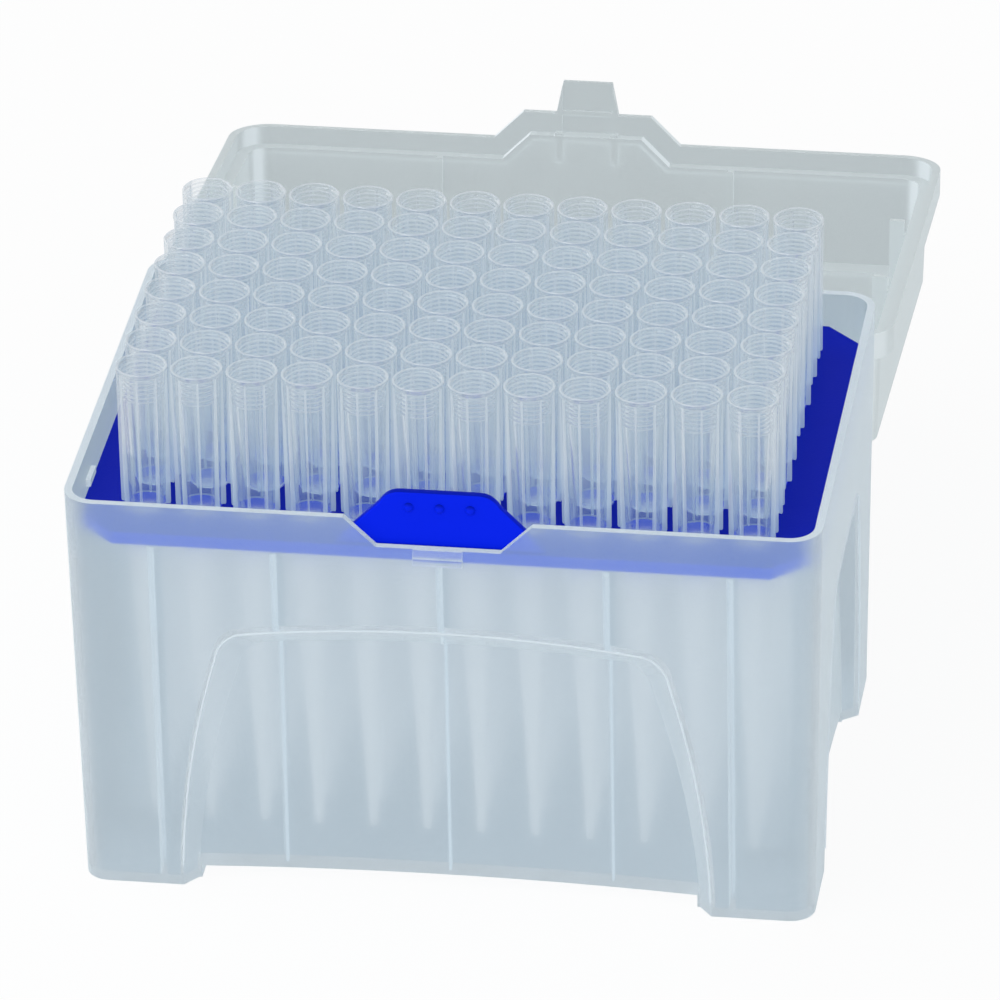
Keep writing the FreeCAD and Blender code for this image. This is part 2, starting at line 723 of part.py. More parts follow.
def hinge_arms():
    """Two arms on the lid's rear, each carrying a round pin that snaps into a pair of ears."""
    low, high = "sizes.hinge_station - sizes.arm_half", "sizes.hinge_station + sizes.arm_half"
    arm = box(
        "arm",
        (low, high),
        (f"{AXIS_Y} - sizes.pin_radius", f"{AXIS_Y} + sizes.arm_back"),
        (AXIS_Z, f"{RIM} + sizes.ledge"),
    )
    end = "sizes.ear_play + sizes.ear_thickness"
    pin = bar("pin", (f"{low} - {end}", f"{high} + {end}"), AXIS_Y, AXIS_Z, "sizes.pin_radius")
    pair = fuse("arm_right", arm, pin)
    return fuse("arms", pair, mirror("arm_left", pair, "x"))


def build_lid():
    inset = (f"{HALF_LENGTH} - sizes.lid_inset", f"{HALF_WIDTH} - sizes.lid_inset")
    outer = rounded_block(
        "lid_outer", *inset, "sizes.corner_radius", RIM, "sizes.lid_height", (0, 0, 1), "-sizes.lid_draft"
    )
    inner = rounded_block(
        "lid_inner",
        f"{inset[0]} - sizes.wall",
        f"{inset[1]} - sizes.wall",
        "sizes.corner_radius - sizes.wall",
        RIM,
        "sizes.lid_height - sizes.wall",
        (0, 0, 1),
        "-sizes.lid_draft",
    )
    shoulder = f"({RIM} + sizes.lid_height - sizes.wall)"
    plateau = rounded_block(
        "plateau",
        f"{HALF_LENGTH} - sizes.lid_step",
        f"{HALF_WIDTH} - sizes.lid_step",
        "sizes.corner_radius",
        shoulder,
        "sizes.plateau_height + sizes.wall",
        (0, 0, 1),
        "-sizes.plateau_draft",
    )
    plateau_room = rounded_block(
        "plateau_room",
        f"{HALF_LENGTH} - sizes.lid_step - sizes.wall",
        f"{HALF_WIDTH} - sizes.lid_step - sizes.wall",
        "sizes.corner_radius - sizes.wall",
        shoulder,
        "sizes.plateau_height",
        (0, 0, 1),
        "-sizes.plateau_draft",
    )
    flap_wall = notch_prism(
        "flap_wall", "-sizes.flap_gap", "sizes.ledge", f"{inset[1]} - sizes.wall", inset[1]
    )
    block = fuse("lid_block", outer, plateau, lid_flange())
    body = cut("lid_shell", block, fuse("lid_room", inner, plateau_room))
    whole = fuse("lid_solid", body, flap_wall, latch(), lid_ribs(), hinge_arms())
    lid = cut("lid", whole, latch_pocket())
    axis = V(0, value(AXIS_Y), value(AXIS_Z))
    turn = FreeCAD.Rotation(V(1, 0, 0), -value("sizes.open_angle"))
    lid.Placement = FreeCAD.Placement(V(), turn, axis)
    return lid


# ---------------------------------------------------------------- build, test and write

base = build_base()
deck_plate = build_deck_plate()
tip = build_tip()
lid = build_lid()
doc.recompute()
nodes = [base, deck_plate, lid] + build_tip_columns(tip)
doc.recompute()

for item in doc.Objects:
    if "Invalid" in item.State or "Error" in item.State:
        raise RuntimeError(f"{item.Name} failed: {item.State}")

os.makedirs("parts", exist_ok=True)
for node in nodes:
    node.Label = node.Name
    shape = node.Shape
    if shape.isNull() or not shape.isValid():
        raise RuntimeError(f"{node.Label} has no valid shape")
    print(node.Label, "solids", len(shape.Solids), "volume", round(shape.Volume, 1))
    shape.exportStep(f"parts/{node.Label}.step")
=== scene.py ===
# %% [markdown]
# # A box of pipette tips
#
# The object is a hinged rack box moulded in frosted polypropylene. A deep blue deck plate holds
# ninety-six clear tips, and the lid is turned right back. The shapes that carry the box come from the
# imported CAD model. This file gives them their plastics, puts detailed tips in place of the plain ones,
# and sets the light and the camera. Lengths are metres, and MM turns the millimetres of a drawing into them.

# %% Load the frame
import math
import random

import bmesh
import bpy
from mathutils import Matrix, Vector


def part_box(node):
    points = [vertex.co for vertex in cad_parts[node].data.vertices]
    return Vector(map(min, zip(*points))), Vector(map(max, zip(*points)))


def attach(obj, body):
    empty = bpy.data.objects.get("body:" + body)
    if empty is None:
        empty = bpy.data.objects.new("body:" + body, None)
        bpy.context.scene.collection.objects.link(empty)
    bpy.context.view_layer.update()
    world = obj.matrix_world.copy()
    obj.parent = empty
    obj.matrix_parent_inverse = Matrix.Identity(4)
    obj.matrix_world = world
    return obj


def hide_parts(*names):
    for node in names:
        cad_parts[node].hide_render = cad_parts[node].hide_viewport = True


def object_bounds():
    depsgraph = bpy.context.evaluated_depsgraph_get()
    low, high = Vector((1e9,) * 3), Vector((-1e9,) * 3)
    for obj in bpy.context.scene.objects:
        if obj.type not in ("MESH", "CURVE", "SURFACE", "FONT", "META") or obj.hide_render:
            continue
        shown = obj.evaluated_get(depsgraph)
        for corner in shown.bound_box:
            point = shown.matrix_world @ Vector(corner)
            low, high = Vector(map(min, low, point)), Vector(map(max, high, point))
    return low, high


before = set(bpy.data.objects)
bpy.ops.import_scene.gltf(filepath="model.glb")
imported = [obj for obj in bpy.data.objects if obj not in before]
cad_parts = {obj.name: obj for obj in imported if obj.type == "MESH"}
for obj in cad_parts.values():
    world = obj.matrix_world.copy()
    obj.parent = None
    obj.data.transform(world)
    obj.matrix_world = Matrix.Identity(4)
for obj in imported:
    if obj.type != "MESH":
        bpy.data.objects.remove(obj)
cad_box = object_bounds()
MM = 0.001
print("CAD box:", [round(side / MM, 1) for side in cad_box[1] - cad_box[0]], "mm")

# %% [markdown]
# ## Writing materials as sums
#
# A material is a network of nodes, and long chains of Math nodes are hard to read. A small class can
# wrap an output socket so that `1 - mask` or `grain * 0.1 + 0.3` adds the nodes by itself. Every other
# node comes from one method, which takes the node's type, its settings and what its inputs hold.

# %% A socket for expressions, and a material that makes nodes
class Wire:
    """An output socket that can stand in a sum or a product of values."""

    def __init__(self, material, socket):
        self.material = material
        self.socket = socket

    def math(self, operation, first, second):
        return self.material.node("Math", {"operation": operation}, {0: first, 1: second})

    def __add__(self, other):
        return self.math("ADD", self, other)

    __radd__ = __add__

    def __sub__(self, other):
        return self.math("SUBTRACT", self, other)

    def __rsub__(self, other):
        return self.math("SUBTRACT", other, self)

    def __mul__(self, other):
        return self.math("MULTIPLY", self, other)

    __rmul__ = __mul__

    def __pow__(self, other):
        return self.math("POWER", self, other)


class Material:
    """A node tree, of a new material or of the world, and the one method that adds to it."""

    def __init__(self, name, tree_owner=None):
        self.block = tree_owner or bpy.data.materials.new(name)
        self.block.use_nodes = True
        self.tree = self.block.node_tree
        self.tree.nodes.clear()

    def node(self, kind, settings=None, inputs=None, output=0):
        """Adds a node: its settings first, then the value or the link of each input."""
        made = self.tree.nodes.new("ShaderNode" + kind)
        for name, value in (settings or {}).items():
            setattr(made, name, value)
        for name, value in (inputs or {}).items():
            if isinstance(value, Wire):
                self.tree.links.new(value.socket, made.inputs[name])
            else:
                made.inputs[name].default_value = value
        return Wire(self, made.outputs[output]) if made.outputs else None

    def show(self, surface, kind="OutputMaterial"):
        self.node(kind, {}, {"Surface": surface})
        return self.block


def paint(piece, *materials):
    """Fills the piece's material slots from the first on, and leaves its faces' slot numbers alone."""
    slots = piece.data.materials
    for place, material in enumerate(materials):
        if place < len(slots):
            slots[place] = material
        else:
            slots.append(material)


def between(material, share, first, second):
    """A colour on the way from the first to the second, by this share."""
    return material.node("Mix", {"data_type": "RGBA"}, {0: share, 6: first, 7: second}, output=2)


def mixed(material, share, first, second):
    """A surface that is the second by this share, and the first elsewhere."""
    return material.node("MixShader", {}, {0: share, 1: first, 2: second})


def lit_once(material, surface, glow):
    """The surface, but light scattered from it onto others is taken as an even glow of this colour.

    Clear and cloudy things in rows would otherwise pass light between them for a very long time.
    """
    even = material.node("Emission", {}, {"Color": glow, "Strength": 1.0})
    scattered = material.node("LightPath", output="Is Diffuse Ray")
    material.block.cycles.emission_sampling = "NONE"
    return mixed(material, scattered, surface, even)


def cloudy(material, colour, normal=None, onward=0.5):
    """Plastic that scatters part of the light back, and the share called onward on through it."""
    bump = {"Normal": normal} if normal else {}
    back = material.node("BsdfDiffuse", {}, {"Color": colour, **bump})
    ahead = material.node("BsdfTranslucent", {}, {"Color": colour})
    return mixed(material, onward, back, ahead)


# %% [markdown]
# ## Frosted polypropylene
#
# The base and the lid are cloudy, not clear: part of the light goes straight on but is blurred, and
# part is scattered inside the wall. A rough glass gives the first and a mix of a plain and a
# translucent surface the second. Their share is the haze, and it varies slowly over a moulding
# because the wall cools unevenly. It is more on top faces and bends, and where the wall is seen edge
# on. A fine grain in the mould shows as a soft bump, and finer pores vary how far the glass blurs.
#
# The inside of the box is in the shade of its own walls and tips. A plain dim glow mixed into the
# base stands for that: on its inner faces from the deck up, and on those seen through a wall.

# %% Frosted walls
FROST_TINT = (0.94, 0.95, 0.955, 1)
FROST_TINT_DEEP = (0.62, 0.66, 0.65, 1)
WHITEST = (0.93, 0.96, 0.98, 1)
FROST_GLOW = (0.80, 0.86, 0.90, 1)
BASE_MILK = (0.73, 0.82, 0.88, 1)
LID_MILK = (0.70, 0.75, 0.75, 1)
INSIDE_SHADE = (0.26, 0.37, 0.46, 1)
SHADED_ABOVE = 60 * MM
NEAR_SHADE = 0.8
SPREAD = (0.12, 0.6)
BEND_SLOPE = (0.03, 0.2)
UPWARD = (0.5, 0.9)
FLOW_HAZE = 0.08
EDGE_ON_HAZE = 0.5


def part_of(material, vector, axis):
    """One of a vector's three numbers."""
    return material.node("SeparateXYZ", {}, {"Vector": vector}, output=axis)


def edges(material):
    """1 where the surface slopes away from all three axes, as on fillets and on the arch's slope."""
    normal = material.node("TexCoord", output="Normal")
    sides = [part_of(material, normal, axis) for axis in "XYZ"]
    sides = [material.node("Math", {"operation": "ABSOLUTE"}, {0: side}) for side in sides]
    squarest = sides[0]
    for side in sides[1:]:
        squarest = material.node("Math", {"operation": "MAXIMUM"}, {0: squarest, 1: side})
    least, most = BEND_SLOPE
    smooth = {"interpolation_type": "SMOOTHSTEP"}
    return material.node("MapRange", smooth, {0: 1 - squarest, 1: least, 2: most})


def frosted(name, haze, milk, tops, bends, rims, shaded):
    """Cloudy plastic for the base or the lid, with haze from 0, clear, to 1, white.

    tops and bends add haze on faces that look up and on slopes, rims whitens what is seen edge on,
    and shaded is how much of the inside's shade shows.
    """
    plastic = Material(name)
    place = plastic.node("TexCoord", output="Object")
    flow = plastic.node("TexNoise", {}, {"Vector": place, "Scale": 55.0, "Detail": 2.0})
    grain = plastic.node("TexNoise", {}, {"Vector": place, "Scale": 2600.0, "Detail": 1.0})
    relief = plastic.node("Bump", {}, {"Height": grain, "Strength": 0.12, "Distance": 0.1 * MM})
    pores = plastic.node("TexNoise", {}, {"Vector": place, "Scale": 60000.0, "Detail": 0.0})
    spread = plastic.node("MapRange", {}, {0: pores, 1: 0.35, 2: 0.65, 3: SPREAD[0], 4: SPREAD[1]})
    facing = plastic.node("LayerWeight", {}, {"Blend": 0.5}, output="Facing")
    slant = facing ** 4
    deep = between(plastic, slant, FROST_TINT, FROST_TINT_DEEP)
    blur = plastic.node(
        "BsdfPrincipled",
        {},
        {
            "Base Color": deep,
            "Roughness": spread,
            "IOR": 1.49,
            "Transmission Weight": 1.0,
            "Normal": relief,
        },
    )
    normal = plastic.node("TexCoord", output="Normal")
    upward = part_of(plastic, normal, "Z")
    upward = plastic.node("MapRange", {}, {0: upward, 1: UPWARD[0], 2: UPWARD[1], 4: tops})
    share = plastic.node("Math", {"operation": "MAXIMUM"}, {0: edges(plastic) * bends, 1: upward})
    whiter = share + slant * rims
    cloud = mixed(plastic, whiter, cloudy(plastic, milk, relief), cloudy(plastic, WHITEST, relief))
    hazy = flow * FLOW_HAZE + (haze - FLOW_HAZE / 2) + share + slant * EDGE_ON_HAZE
    wall = mixed(plastic, hazy, blur, cloud)
    return plastic.show(lit_once(plastic, in_shade(plastic, wall, place, normal, shaded), FROST_GLOW))


def in_shade(plastic, wall, place, normal, shaded):
    """The wall with the inside's shade: near is what is met directly, and beyond what is seen through it."""
    dim = plastic.node("Emission", {}, {"Color": INSIDE_SHADE, "Strength": 1.0})
    dot = {"operation": "DOT_PRODUCT"}
    outward = plastic.node("VectorMath", dot, {0: place, 1: normal}, output="Value")
    inner = plastic.node("Math", {"operation": "LESS_THAN"}, {0: outward, 1: 0.0})
    height = part_of(plastic, place, "Z")
    high = plastic.node("Math", {"operation": "GREATER_THAN"}, {0: height, 1: SHADED_ABOVE})
    leaving = plastic.node("NewGeometry", output="Backfacing")
    near = mixed(plastic, inner * high * shaded * NEAR_SHADE, wall, dim)
    beyond = mixed(plastic, (1 - leaving) * shaded, wall, dim)
    through = plastic.node("LightPath", output="Is Transmission Ray")
    return mixed(plastic, through, near, beyond)


base_plastic = frosted("frosted_base", 0.15, BASE_MILK, tops=0.4, bends=0.06, rims=0.0, shaded=0.46)
lid_plastic = frosted("frosted_lid", 0.50, LID_MILK, tops=0.0, bends=0.4, rims=0.3, shaded=0.0)
paint(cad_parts["base"], base_plastic)
paint(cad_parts["lid"], lid_plastic)
print("nodes of the base's plastic:", len(base_plastic.node_tree.nodes))

# %% [markdown]
# ## The blue deck
#
# The deck is solid colour, moulded with a satin face. The mould's fine texture breaks up the
# highlights, and the pigment is a little uneven where the plastic flowed round the holes. Its level
# face has painted shade, darker as in the shade of the tips. Seen through the wall, a brighter blue
# glow is mixed in, a painted light for the cloudy wall close in front of it, which spreads its colour.

# %% Blue plastic
DECK_BLUE = (0.001, 0.016, 0.78, 1)
# Painted shade: the colour of the deck's level face, darkened as in the shade of the tips.
DECK_BLUE_PAINTED_SHADE = (0.001, 0.010, 0.38, 1)
DECK_GLOW = (0.02, 0.10, 0.42, 1)
# Painted light: a brighter blue glow for the deck where it is seen through the wall.
DECK_PAINTED_GLOW = (0.005, 0.25, 0.95, 1)
PAINTED_GLOW_SHARE = 0.35


def pigmented(name, colour, painted_shade_colour):
    """Opaque plastic of this colour, with painted shade on level faces and a painted glow seen through the
    wall.
    """
    plastic = Material(name)
    place = plastic.node("TexCoord", output="Object")
    flow = plastic.node("TexNoise", {}, {"Vector": place, "Scale": 120.0, "Detail": 2.0})
    grain = plastic.node("TexNoise", {}, {"Vector": place, "Scale": 3000.0, "Detail": 1.0})
    upward = part_of(plastic, plastic.node("TexCoord", output="Normal"), "Z")
    # Level faces take painted shade of the tips; the flow noise adds the pigment's real unevenness.
    level = plastic.node("MapRange", {}, {0: upward, 1: 0.3, 2: 0.9, 3: 0.0, 4: 0.9})
    shade = between(plastic, flow * 0.1 + level, colour, painted_shade_colour)
    relief = plastic.node("Bump", {}, {"Height": grain, "Strength": 0.15, "Distance": 0.1 * MM})
    body = plastic.node(
        "BsdfPrincipled",
        {},
        {
            "Base Color": shade,
            "Roughness": grain * 0.12 + 0.34,
            "Specular IOR Level": 0.03,
            "Normal": relief,
        },
    )
    # Seen through the wall the deck gets a painted glow, for the light the cloudy wall spreads onto it.
    painted_glow = plastic.node("Emission", {}, {"Color": DECK_PAINTED_GLOW, "Strength": 1.0})
    lit_by_wall = mixed(plastic, PAINTED_GLOW_SHARE, body, painted_glow)
    through_wall = plastic.node("LightPath", output="Is Transmission Ray")
    both = mixed(plastic, through_wall, body, lit_by_wall)
    return plastic.show(lit_once(plastic, both, DECK_GLOW))


deck_plastic = pigmented("deck_blue", DECK_BLUE, DECK_BLUE_PAINTED_SHADE)
print("nodes of the blue plastic:", len(deck_plastic.node_tree.nodes))

# %% [markdown]
# ## The deck's shape
#
# The plate, its skirt and its grip tab are flat outlines given a thickness. A filled curve does that,
# cuts a hole wherever it holds a second loop, and rounds every edge with its bevel. So each hole
# is one more circle, and the plate comes out with soft moulded edges. Under each hole a short collar
# steadies the tip; it is a small turned ring.

# %% Sizes of the deck
columns = sorted(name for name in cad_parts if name.startswith("tips_column"))
first, second = (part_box(name) for name in columns[:2])
PITCH = ((second[0] + second[1]) / 2 - (first[0] + first[1]) / 2).x
ROWS = 8
tip_spots = [
    Vector((sum(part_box(name)[side].x for side in (0, 1)) / 2, (row - (ROWS - 1) / 2) * PITCH, 0))
    for name in columns
    for row in range(ROWS)
]
deck_low, deck_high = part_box("deck_plate")
DECK_SKIRT = 2.2 * MM
DECK_SHEET = 1.8 * MM
DECK_TOP = deck_low.z + DECK_SKIRT
DECK_CORNER = 6.2 * MM
SKIRT_WALL = 1.2 * MM
HOLE_RADIUS = 3.35 * MM
COLLAR_DEPTH = 3.4 * MM
COLLAR_WALL = 0.8 * MM
SOFT_EDGE = 0.18 * MM
SHARP = 32
TAB_HALVES = (6.4 * MM, 8.6 * MM, 17.2 * MM)
TAB_SHOULDER = 1.0 * MM
TAB_BEND = 6
TAB_BEND_REACH = (1.2 * MM, 1.1 * MM)
TAB_SOFT_EDGE = 0.3 * MM
TAB_THICKNESS = 1.5 * MM
TAB_SETBACK = 0.8 * MM
DOME_RADIUS = 0.85 * MM
DOME_SPACING = 5 * MM
DOME_DROP = 2.7 * MM
print("pitch", round(PITCH / MM, 2), "deck top at", round(DECK_TOP / MM, 1), "mm")


# %% Outlines that become plates
def plate(name, loops, top, thickness, edge=SOFT_EDGE):
    """A mesh of this thickness under top, filled between loops of points on the level plane."""
    outline = bpy.data.curves.new(name, "CURVE")
    outline.dimensions = "2D"
    outline.fill_mode = "BOTH"
    outline.extrude = thickness / 2 - edge
    outline.bevel_depth = edge
    outline.bevel_resolution = 1
    outline.offset = -edge
    for points in loops:
        loop = outline.splines.new("POLY")
        loop.points.add(len(points) - 1)
        for point, (x, y) in zip(loop.points, points):
            point.co = (x, y, 0, 1)
        loop.use_cyclic_u = True
    maker = bpy.data.objects.new(name, outline)
    mesh = bpy.data.meshes.new_from_object(maker)
    mesh.transform(Matrix.Translation((0, 0, top - thickness / 2)))
    bpy.data.objects.remove(maker)
    return mesh


def cut_corner_rectangle(half_x, half_y, corner):
    """A rectangle about the middle, with its corners cut off."""
    points = []
    for across, along in ((1, -1), (1, 1), (-1, 1), (-1, -1)):
        pair = [
            (across * (half_x - corner), along * half_y),
            (across * half_x, along * (half_y - corner)),
        ]
        points += pair if across * along < 0 else pair[::-1]
    return points


def circle(centre, radius, sides=32):
    """The points of a level circle."""
    turns = [math.tau * side / sides for side in range(sides)]
    return [(centre.x + radius * math.cos(turn), centre.y + radius * math.sin(turn)) for turn in turns]


def turned(profile, centre, sides=32):
    """A closed ring turned round a vertical axis from a loop of (radius, height) points."""
    body = bmesh.new()
    rings = [
        [body.verts.new((centre.x + radius * math.cos(turn), centre.y + radius * math.sin(turn), height))
         for radius, height in profile]
        for turn in (math.tau * side / sides for side in range(sides))
    ]
    for near, far in zip(rings, rings[1:] + rings[:1]):
        for here in range(len(profile)):
            after = (here + 1) % len(profile)
            body.faces.new((near[here], far[here], far[after], near[after]))
    bmesh.ops.recalc_face_normals(body, faces=body.faces)
    mesh = bpy.data.meshes.new("ring")
    body.to_mesh(mesh)
    body.free()
    return mesh


def piece_of(name, meshes, material, sharp=SHARP):
    """One object of several meshes, smooth but for edges sharper than this many degrees."""
    body = bmesh.new()
    for mesh in meshes:
        body.from_mesh(mesh)
        bpy.data.meshes.remove(mesh)
    mesh = bpy.data.meshes.new(name)
    body.to_mesh(mesh)
    body.free()
    mesh.shade_smooth()
    mesh.set_sharp_from_angle(angle=math.radians(sharp))
    piece = bpy.data.objects.new(name, mesh)
    bpy.context.scene.collection.objects.link(piece)
    paint(piece, material)
    return piece


# %% Deck plate, skirt, collars and tab
def deck_half(shrink=0.0):
    """Half the deck's width and depth, less a margin."""
    return deck_high.x - shrink, -deck_low.y - shrink


def tab_outline():
    """Half of the tab from its foot to its top, mirrored; rounded where the flank meets the top."""
    narrow, shoulder, foot = TAB_HALVES
    top = deck_high.z
    right = [(foot, DECK_TOP - DECK_SHEET / 2), (foot, DECK_TOP)]
    start = shoulder + TAB_BEND_REACH[0], top - TAB_SHOULDER - TAB_BEND_REACH[1]
    for step in range(TAB_BEND + 1):
        share = step / TAB_BEND
        pulls = (1 - share) ** 2, 2 * share * (1 - share), share ** 2
        x = pulls[0] * start[0] + pulls[1] * shoulder + pulls[2] * narrow
        z = pulls[0] * start[1] + pulls[1] * top + pulls[2] * top
        right.append((x, z))
    return right + [(-x, z) for x, z in reversed(right)]


def deck_meshes():
    """The sheet with its holes, the skirt under its edge, a collar under each hole, the tab and its domes."""
    outline = cut_corner_rectangle(*deck_half(), DECK_CORNER)
    holes = [circle(spot, HOLE_RADIUS) for spot in tip_spots]
    yield plate("sheet", [outline] + holes, DECK_TOP, DECK_SHEET)
    inner = cut_corner_rectangle(*deck_half(SKIRT_WALL), DECK_CORNER - SKIRT_WALL * (2 - math.sqrt(2)))
    skirt = DECK_SKIRT - DECK_SHEET + 2 * SOFT_EDGE
    yield plate("skirt", [outline, inner], DECK_TOP - DECK_SKIRT + skirt, skirt)
    foot = DECK_TOP - DECK_SHEET - COLLAR_DEPTH
    head = DECK_TOP - DECK_SHEET / 2
    outer = HOLE_RADIUS + COLLAR_WALL
    section = [(HOLE_RADIUS, head), (outer, head)]
    section += [(outer - 0.2 * MM, foot), (HOLE_RADIUS - 0.15 * MM, foot)]
    for spot in tip_spots:
        yield turned(section, spot, 24)
    front = deck_low.y + TAB_SETBACK
    tab = plate("tab", [tab_outline()], TAB_THICKNESS / 2, TAB_THICKNESS, TAB_SOFT_EDGE)
    upright = Matrix.Rotation(math.pi / 2, 4, "X")
    tab.transform(Matrix.Translation((0, front + TAB_THICKNESS / 2, 0)) @ upright)
    yield tab
    for place in (-1, 0, 1):
        dome = bmesh.new()
        bmesh.ops.create_uvsphere(dome, u_segments=20, v_segments=12, radius=DOME_RADIUS)
        spot = Matrix.Translation((place * DOME_SPACING, front + 0.2 * MM, deck_high.z - DOME_DROP))
        bmesh.ops.transform(dome, matrix=spot, verts=dome.verts)
        mesh = bpy.data.meshes.new("dome")
        dome.to_mesh(mesh)
        dome.free()
        yield mesh


deck = piece_of("blue_deck", list(deck_meshes()), deck_plastic)
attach(deck, "box")
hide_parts("deck_plate")
print("deck triangles:", sum(len(face.vertices) - 2 for face in deck.data.polygons))

# %% [markdown]
# ## Where the wall is thick
#
# The plastic is whitest where there is most of it to look through: along the sharp bend round each sunk
# panel, and down the ribs that carry the deck. A bead follows the first, on the edges that the CAD mesh
# has there. Each rib gets a milky core, with a wider head where the rib meets the deck. Both are thin
# solids of a milky plastic. A mask in the wall's own material could mark the same places, but it would
# have to find them from positions alone, and a solid can follow the edges that are there.

# %% Milky plastic
CORE_HAZE = 0.6
CORE_FLOW = 0.3


def milky(name, milk):
    """Plastic so thick that little shows through it."""
    plastic = Material(name)
    place = plastic.node("TexCoord", output="Object")
    flow = plastic.node("TexNoise", {}, {"Vector": place, "Scale": 90.0, "Detail": 2.0})
    window = plastic.node("BsdfTransparent", {}, {"Color": FROST_TINT})
    cloud = cloudy(plastic, milk, onward=0.4)
    core = mixed(plastic, flow * CORE_FLOW + CORE_HAZE, window, cloud)
    return plastic.show(lit_once(plastic, core, milk))


edge_milk = milky("milky_edge", (0.74, 0.80, 0.85, 1))
core_milk = milky("milky_core", (0.74, 0.82, 0.88, 1))
print("nodes of the milky plastic:", len(core_milk.node_tree.nodes))

# %% Beads along the arches
BEAD_RADIUS = 0.2 * MM
BEAD_SHARP = 60
BEAD_FOOT = 0.2 * MM
ARCH_BELOW = 60 * MM
PANEL_MARGIN = 10 * MM
PANEL_DEPTH = 2.6 * MM
FACES_OUT = 0.985
SLOPES_IN = 0.97
FOOT_DROP = 5 * MM
WALLS = (Vector((0, -1, 0)), Vector((1, 0, 0)), Vector((0, 1, 0)), Vector((-1, 0, 0)))


def bend_points(body, outward):
    """The corners of the sunk panel's outer edge on one wall, from one foot over to the other.

    They lie on convex edges between a face that looks out and one that slopes in. The hinge's ears
    stand out further than the wall, so only what lies below them is measured and searched.
    """
    along = outward.cross(Vector((0, 0, 1)))
    reach = max(vert.co.dot(outward) for vert in body.verts if vert.co.z < ARCH_BELOW)
    side = max(vert.co.dot(along) for vert in body.verts)
    found = set()
    for edge in body.edges:
        middle = (edge.verts[0].co + edge.verts[1].co) / 2
        within = abs(middle.dot(along)) < side - PANEL_MARGIN and middle.z < ARCH_BELOW
        near = middle.dot(outward) > reach - PANEL_DEPTH
        if len(edge.link_faces) == 2 and within and near:
            slopes = sorted(face.normal.dot(outward) for face in edge.link_faces)
            if slopes[1] > FACES_OUT and slopes[0] < SLOPES_IN and edge.is_convex:
                found.update(edge.verts)
    points = [vert.co.copy() for vert in found if vert.co.z > BEAD_FOOT]
    return sorted(points, key=lambda point: math.atan2(point.z + FOOT_DROP, point.dot(along)))


def bead(name, points):
    """A thin round bar through the points."""
    line = bpy.data.curves.new(name, "CURVE")
    line.dimensions = "3D"
    line.bevel_depth = BEAD_RADIUS
    line.bevel_resolution = 2
    line.use_fill_caps = True
    spline = line.splines.new("POLY")
    spline.points.add(len(points) - 1)
    for point, place in zip(spline.points, points):
        point.co = (*place, 1)
    maker = bpy.data.objects.new(name, line)
    mesh = bpy.data.meshes.new_from_object(maker)
    bpy.data.objects.remove(maker)
    return mesh


wall_mesh = bmesh.new()
wall_mesh.from_mesh(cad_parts["base"].data)
bmesh.ops.remove_doubles(wall_mesh, verts=wall_mesh.verts, dist=0.001 * MM)
paths = [bend_points(wall_mesh, outward) for outward in WALLS]
print("points in each bead:", [len(points) for points in paths])
wall_mesh.free()
beads = [bead("bead", points) for points in paths]
panel_beads = piece_of("panel_beads", beads, edge_milk, BEAD_SHARP)
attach(panel_beads, "box")

# %% Cores in the ribs
RIB_CORE = 0.4 * MM
RIB_END = 36.2 * MM, 54.2 * MM
PANEL_BACK = 37.6 * MM, 55.8 * MM
WALL_BACK = 41.0 * MM, 58.6 * MM
RIB_SPOTS = (-47, -27, 0, 27, 47), (-18, 0, 18)
RIB_HEIGHTS = (3 * MM, 47.5 * MM, 47.4 * MM, DECK_TOP - DECK_SHEET - 1.3 * MM)
RIB_HEAD_WIDER = 0.3 * MM
RIB_HEAD_RISE = 1.0 * MM
RIB_HEAD_DEPTH = 1.2 * MM


def rib_bar(spot, axis, sign, back, half, top, depth):
    """A bar of a rib's core, from the rib's inner end back to the wall, with its top at this height."""
    left, right = spot * MM - half, spot * MM + half
    front, rear = sign * RIB_END[axis], sign * back
    loop = [(left, front), (right, front), (right, rear), (left, rear)]
    if axis:
        loop = [(y, x) for x, y in loop]
    return plate("core", [loop], top, depth, 0.1 * MM)


def rib_cores():
    """For each rib a core behind the panel, one behind the wall over it, and the head."""
    low, panel_top, wall_foot, top = RIB_HEIGHTS
    thin = RIB_CORE / 2
    wide = thin + RIB_HEAD_WIDER
    for axis, spots in enumerate(RIB_SPOTS):
        for sign in (-1, 1):
            for spot in spots:
                yield rib_bar(spot, axis, sign, PANEL_BACK[axis], thin, panel_top, panel_top - low)
                yield rib_bar(spot, axis, sign, WALL_BACK[axis], thin, top, top - wall_foot)
                yield rib_bar(spot, axis, sign, WALL_BACK[axis], wide, top + RIB_HEAD_RISE, RIB_HEAD_DEPTH)


cores = piece_of("rib_cores", list(rib_cores()), core_milk)
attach(cores, "box")
print("rib cores:", 2 * sum(len(spots) for spots in RIB_SPOTS))

# %% [markdown]
# ## Clear tips
#
# A tip's wall is so thin that light hardly bends in it. What shows is the haze, which thickens
# where the wall is seen edge on, and the gloss. So a transparent surface, a cloudy one and a glossy one
# are mixed: the first two by how much the wall faces the eye, the last by Fresnel's law. Close over
# the deck the haze is painted bluish, as painted light bounced from the deck, and the thick cone
# under the deck is white.
# The fins, the lip and the foot have a satin face, which is the same plastic with more haze.

# %% Clear plastic
TIP_MILK = (0.85, 0.91, 0.93, 1)
SATIN_MILK = (0.92, 0.95, 0.98, 1)
TIP_TINT = (0.98, 0.985, 0.99, 1)
TIP_GLOW = (0.52, 0.60, 0.67, 1)
HAZE_RISE = 25 * MM
EDGE_HAZE = 0.15
GLOSS_SHARE = 0.4
CONE_HAZE = 0.8
CONE_MILK = (0.97, 0.99, 1.0, 1)
CONE_START = DECK_TOP - 1 * MM
CONE_FULL = DECK_TOP - 4 * MM
PAINTED_BOUNCE_RISE = 12 * MM
# Painted light: the blue the deck bounces onto the tips' haze close over it.
TIP_PAINTED_BOUNCE = (0.50, 0.74, 1.0, 1)


